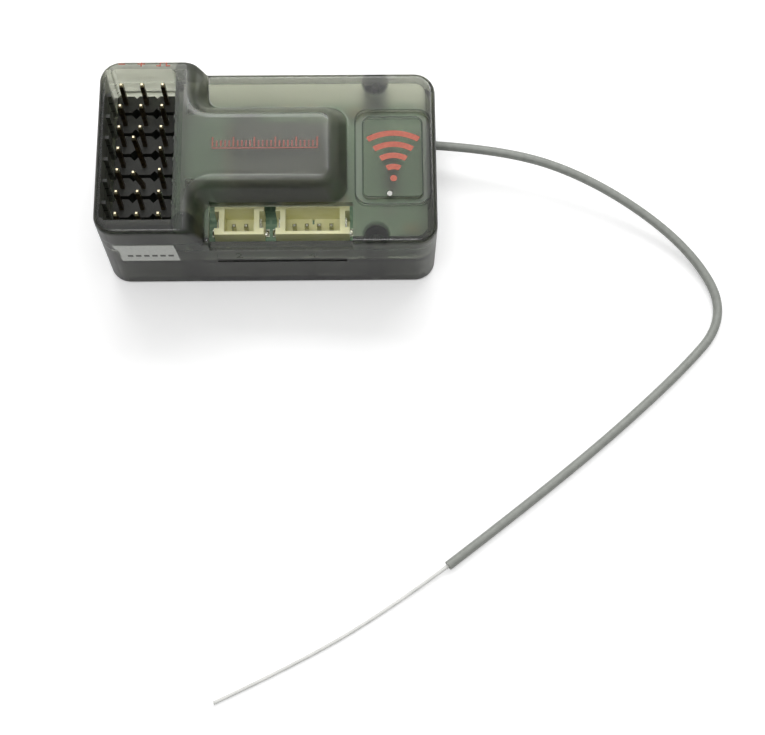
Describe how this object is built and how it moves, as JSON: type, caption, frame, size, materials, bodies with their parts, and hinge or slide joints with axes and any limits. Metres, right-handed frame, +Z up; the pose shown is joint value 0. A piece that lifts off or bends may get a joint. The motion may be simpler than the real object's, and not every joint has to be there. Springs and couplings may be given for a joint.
{
  "type": "rc receiver",
  "caption": "Small radio-control receiver in a smoke-clear case with rows of servo pins, upright wire ports and a coaxial aerial.",
  "frame": {"origin": "middle of the case's underside, on the surface that the receiver stands on", "axes": "+X along the case towards the aerial, +Y to the back, away from the wire ports, +Z up"},
  "size_m": [0.0768, 0.0756, 0.0155],
  "materials": {
    "smoke_plastic": "clear smoke-grey moulding, glossy",
    "black_plastic": "matt",
    "gold_pin": "gold plated, worn",
    "ivory_plastic": "unfilled nylon, satin",
    "tinned_metal": "tinned",
    "board_green": "solder mask, satin",
    "chip_black": "moulded epoxy",
    "can_metal": "dull plated",
    "ceramic_tan": "fired ceramic",
    "led_clear": "moulded clear resin",
    "screw_steel": "blackened",
    "label_white": "blank paper label",
    "jacket_grey": "extruded cable jacket, satin",
    "core_white": "thin white insulation"
  },
  "bodies": {
    "root": {"upper_shell": "smoke_plastic", "lower_shell": "smoke_plastic", "main_board": "board_green", "radio_board": "board_green", "radio_board_pins": "gold_pin", "radio_can": "can_metal", "processor": "chip_black", "processor_leads": "tinned_metal", "regulator": "chip_black", "regulator_leads": "tinned_metal", "crystal": "can_metal", "chip_capacitors": "ceramic_tan", "status_led": "led_clear", "case_screws": "screw_steel", "blank_label": "label_white", "antenna_joint": "tinned_metal", "antenna_cable": "jacket_grey", "antenna_tip": "core_white", "servo_header_1": "black_plastic", "servo_header_2": "black_plastic", "servo_header_3": "black_plastic", "servo_header_4": "black_plastic", "servo_header_5": "black_plastic", "servo_header_6": "black_plastic", "servo_header_7": "black_plastic", "servo_pins_1": "gold_pin", "servo_pins_2": "gold_pin", "servo_pins_3": "gold_pin", "servo_pins_4": "gold_pin", "servo_pins_5": "gold_pin", "servo_pins_6": "gold_pin", "servo_pins_7": "gold_pin", "port_2way_housing": "ivory_plastic", "port_2way_pins": "tinned_metal", "port_2way_tabs": "tinned_metal", "port_4way_housing": "ivory_plastic", "port_4way_pins": "tinned_metal", "port_4way_tabs": "tinned_metal"}
  },
  "joints": []
}
